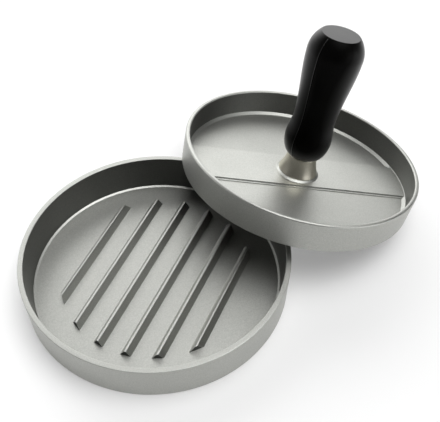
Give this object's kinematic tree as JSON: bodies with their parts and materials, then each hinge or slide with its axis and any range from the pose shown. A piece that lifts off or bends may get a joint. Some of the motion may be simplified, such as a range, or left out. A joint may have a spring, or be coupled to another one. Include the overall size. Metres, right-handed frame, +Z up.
{
  "type": "burger press",
  "caption": "Round cast dish with a ridged floor, and a press plate with an upright knob handle that lies tipped on the dish's rim.",
  "frame": {"origin": "centre of the dish's underside", "axes": "+Z up from the table; +X the way the tipped plate falls, from the dish's rim to the table; +Y to its left"},
  "size_m": [0.2009, 0.127, 0.0908],
  "materials": {
    "cast_aluminium": "satin, fine blasted grain",
    "screw_steel": "turned",
    "ferrule_nickel": "satin nickel",
    "insert_brass": "turned",
    "grip_phenolic": "moulded, satin"
  },
  "bodies": {
    "dish": {"base_dish": "cast_aluminium"},
    "press": {"press_plate": "cast_aluminium", "handle_screw": "screw_steel"},
    "collar": {"handle_ferrule": "ferrule_nickel"},
    "handle": {"handle_grip": "grip_phenolic", "handle_insert": "insert_brass"}
  },
  "joints": [
    {"name": "plate_lift", "type": "slide", "parent": "dish", "child": "press", "axis": [0, 0, 1], "range_m": [0, 0.08]},
    {"name": "handle_turn", "type": "hinge", "parent": "press", "child": "collar", "pos_m": [0.08204, -0.0099, 0.01551], "axis": [0.279, 0, 0.9603], "range_deg": [0, 5400]},
    {"name": "handle_rise", "type": "slide", "parent": "collar", "child": "handle", "axis": [0.279, 0, 0.9603], "range_m": [0, 0.01205]}
  ],
  "couplings": [
    {"joint": "handle_rise", "follows": "handle_turn", "m_per_rad": 0.00012732}
  ]
}
